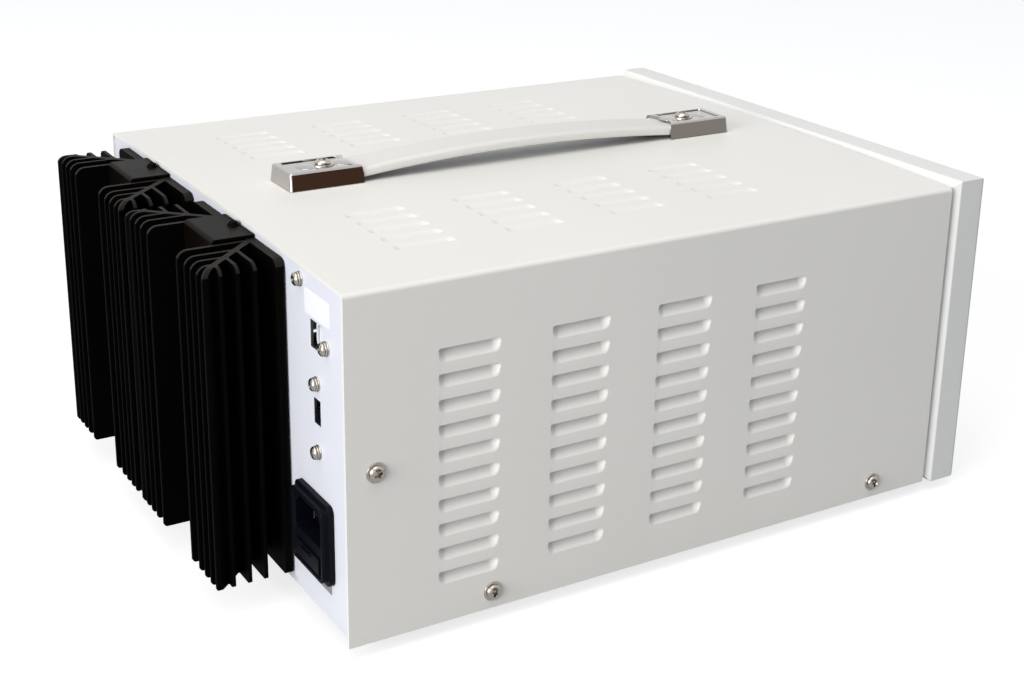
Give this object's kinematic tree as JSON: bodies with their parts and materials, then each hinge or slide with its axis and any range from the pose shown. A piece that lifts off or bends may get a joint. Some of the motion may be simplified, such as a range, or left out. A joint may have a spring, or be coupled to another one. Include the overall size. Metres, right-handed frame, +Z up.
{
  "type": "triple output power supply",
  "caption": "Bench power supply in a louvred sheet metal case with a strap handle, rear heat sinks, a mains inlet and front knobs, buttons and binding posts.",
  "frame": {"origin": "middle of the bounding box at the underside of the feet", "axes": "+Z up, -Y towards the front panel, +Y towards the heat sinks, +X to the right seen from the front"},
  "size_m": [0.2654, 0.3604, 0.1615],
  "materials": {
    "cream_paint": "fine satin powder coat",
    "rear_paint": "smooth cool white paint",
    "zinc_steel": "zinc plated",
    "grey_plastic": "moulded, fine texture",
    "panel_paint": "matt",
    "smoked_acrylic": "polished",
    "board_green": "solder mask",
    "black_plastic": "moulded",
    "dark_knob": "moulded",
    "button_plastic": "moulded",
    "red_plastic": "moulded",
    "green_plastic": "moulded",
    "nickel": "nickel plated",
    "black_anodised": "black anodised extrusion",
    "black_enamel": "semi-gloss",
    "core_steel": "laminated",
    "winding_tape": "copper winding under yellow tape",
    "capacitor_sleeve": "shrink sleeve",
    "vinyl": "soft light grey vinyl",
    "chrome": "bright chrome",
    "black_rubber": "matt"
  },
  "bodies": {
    "case": {"cover": "cream_paint", "chassis_tray": "zinc_steel", "rear_panel": "rear_paint", "front_bezel": "grey_plastic", "front_panel": "panel_paint", "display_window": "smoked_acrylic", "display_board": "board_green", "control_board": "board_green", "power_switch_body": "black_plastic", "transformer_core": "core_steel", "transformer_coil": "winding_tape", "main_board": "board_green", "filter_capacitor_a": "capacitor_sleeve", "filter_capacitor_b": "capacitor_sleeve", "heat_sink_near": "black_anodised", "heat_sink_far": "black_anodised", "transistor_cover_near": "black_enamel", "transistor_cover_far": "black_enamel", "power_transistor_near": "nickel", "power_transistor_far": "nickel", "inlet_body": "black_plastic", "usb_socket": "nickel", "voltage_selector_body": "black_plastic", "handle_strap": "vinyl", "handle_cap_front": "chrome", "handle_cap_rear": "chrome", "handle_screw_front": "nickel", "handle_screw_rear": "nickel", "foot_front_left": "black_rubber", "foot_front_right": "black_rubber", "foot_rear_left": "black_rubber", "foot_rear_right": "black_rubber", "post_stud_a_1": "nickel", "post_stud_a_2": "nickel", "post_stud_a_3": "nickel", "post_stud_b_1": "nickel", "post_stud_b_2": "nickel", "post_stud_b_3": "nickel", "post_stud_fixed_1": "nickel", "post_stud_fixed_2": "nickel"},
    "voltage_knob_a": {"voltage_knob_a": "dark_knob"},
    "current_knob_a": {"current_knob_a": "dark_knob"},
    "current_knob_b": {"current_knob_b": "dark_knob"},
    "voltage_knob_b": {"voltage_knob_b": "dark_knob"},
    "series_button": {"series_button": "button_plastic"},
    "parallel_button": {"parallel_button": "button_plastic"},
    "output_button": {"output_button": "green_plastic"},
    "power_rocker": {"power_rocker": "black_plastic"},
    "post_cap_a_1": {"post_cap_a_1": "black_plastic"},
    "post_cap_a_2": {"post_cap_a_2": "green_plastic"},
    "post_cap_a_3": {"post_cap_a_3": "red_plastic"},
    "post_cap_b_1": {"post_cap_b_1": "black_plastic"},
    "post_cap_b_2": {"post_cap_b_2": "green_plastic"},
    "post_cap_b_3": {"post_cap_b_3": "red_plastic"},
    "post_cap_fixed_1": {"post_cap_fixed_1": "black_plastic"},
    "post_cap_fixed_2": {"post_cap_fixed_2": "red_plastic"},
    "fuse_drawer": {"fuse_drawer": "black_plastic", "fuse_link": "nickel"},
    "selector_slider": {"selector_slider": "black_plastic"}
  },
  "joints": [
    {"name": "voltage_knob_a_turn", "type": "hinge", "parent": "case", "child": "voltage_knob_a", "pos_m": [-0.088, -0.1632, 0.078], "axis": [0, 1, 0], "range_deg": [-150, 150]},
    {"name": "current_knob_a_turn", "type": "hinge", "parent": "case", "child": "current_knob_a", "pos_m": [-0.048, -0.1632, 0.078], "axis": [0, 1, 0], "range_deg": [-150, 150]},
    {"name": "current_knob_b_turn", "type": "hinge", "parent": "case", "child": "current_knob_b", "pos_m": [0.048, -0.1632, 0.078], "axis": [0, 1, 0], "range_deg": [-150, 150]},
    {"name": "voltage_knob_b_turn", "type": "hinge", "parent": "case", "child": "voltage_knob_b", "pos_m": [0.088, -0.1632, 0.078], "axis": [0, 1, 0], "range_deg": [-150, 150]},
    {"name": "series_button_press", "type": "slide", "parent": "case", "child": "series_button", "axis": [0, 1, 0], "range_m": [0, 0.003], "stiffness_N_per_m": 400},
    {"name": "parallel_button_press", "type": "slide", "parent": "case", "child": "parallel_button", "axis": [0, 1, 0], "range_m": [0, 0.003], "stiffness_N_per_m": 400},
    {"name": "output_button_press", "type": "slide", "parent": "case", "child": "output_button", "axis": [0, 1, 0], "range_m": [0, 0.003], "stiffness_N_per_m": 400},
    {"name": "power_rocker_tilt", "type": "hinge", "parent": "case", "child": "power_rocker", "pos_m": [-0.105, -0.1597, 0.034], "axis": [1, 0, 0], "range_deg": [-18, 0]},
    {"name": "post_cap_a_1_turn", "type": "hinge", "parent": "case", "child": "post_cap_a_1", "pos_m": [-0.07, -0.1712, 0.032], "axis": [0, -1, 0], "range_deg": [0, 1080]},
    {"name": "post_cap_a_2_turn", "type": "hinge", "parent": "case", "child": "post_cap_a_2", "pos_m": [-0.051, -0.1712, 0.032], "axis": [0, -1, 0], "range_deg": [0, 1080]},
    {"name": "post_cap_a_3_turn", "type": "hinge", "parent": "case", "child": "post_cap_a_3", "pos_m": [-0.032, -0.1712, 0.032], "axis": [0, -1, 0], "range_deg": [0, 1080]},
    {"name": "post_cap_b_1_turn", "type": "hinge", "parent": "case", "child": "post_cap_b_1", "pos_m": [0.008, -0.1712, 0.032], "axis": [0, -1, 0], "range_deg": [0, 1080]},
    {"name": "post_cap_b_2_turn", "type": "hinge", "parent": "case", "child": "post_cap_b_2", "pos_m": [0.027, -0.1712, 0.032], "axis": [0, -1, 0], "range_deg": [0, 1080]},
    {"name": "post_cap_b_3_turn", "type": "hinge", "parent": "case", "child": "post_cap_b_3", "pos_m": [0.046, -0.1712, 0.032], "axis": [0, -1, 0], "range_deg": [0, 1080]},
    {"name": "post_cap_fixed_1_turn", "type": "hinge", "parent": "case", "child": "post_cap_fixed_1", "pos_m": [0.086, -0.1712, 0.032], "axis": [0, -1, 0], "range_deg": [0, 1080]},
    {"name": "post_cap_fixed_2_turn", "type": "hinge", "parent": "case", "child": "post_cap_fixed_2", "pos_m": [0.105, -0.1712, 0.032], "axis": [0, -1, 0], "range_deg": [0, 1080]},
    {"name": "fuse_drawer_slide", "type": "slide", "parent": "case", "child": "fuse_drawer", "axis": [0, 1, 0], "range_m": [0, 0.016]},
    {"name": "selector_slide", "type": "slide", "parent": "case", "child": "selector_slider", "axis": [0, 0, 1], "range_m": [0, 0.004]}
  ]
}
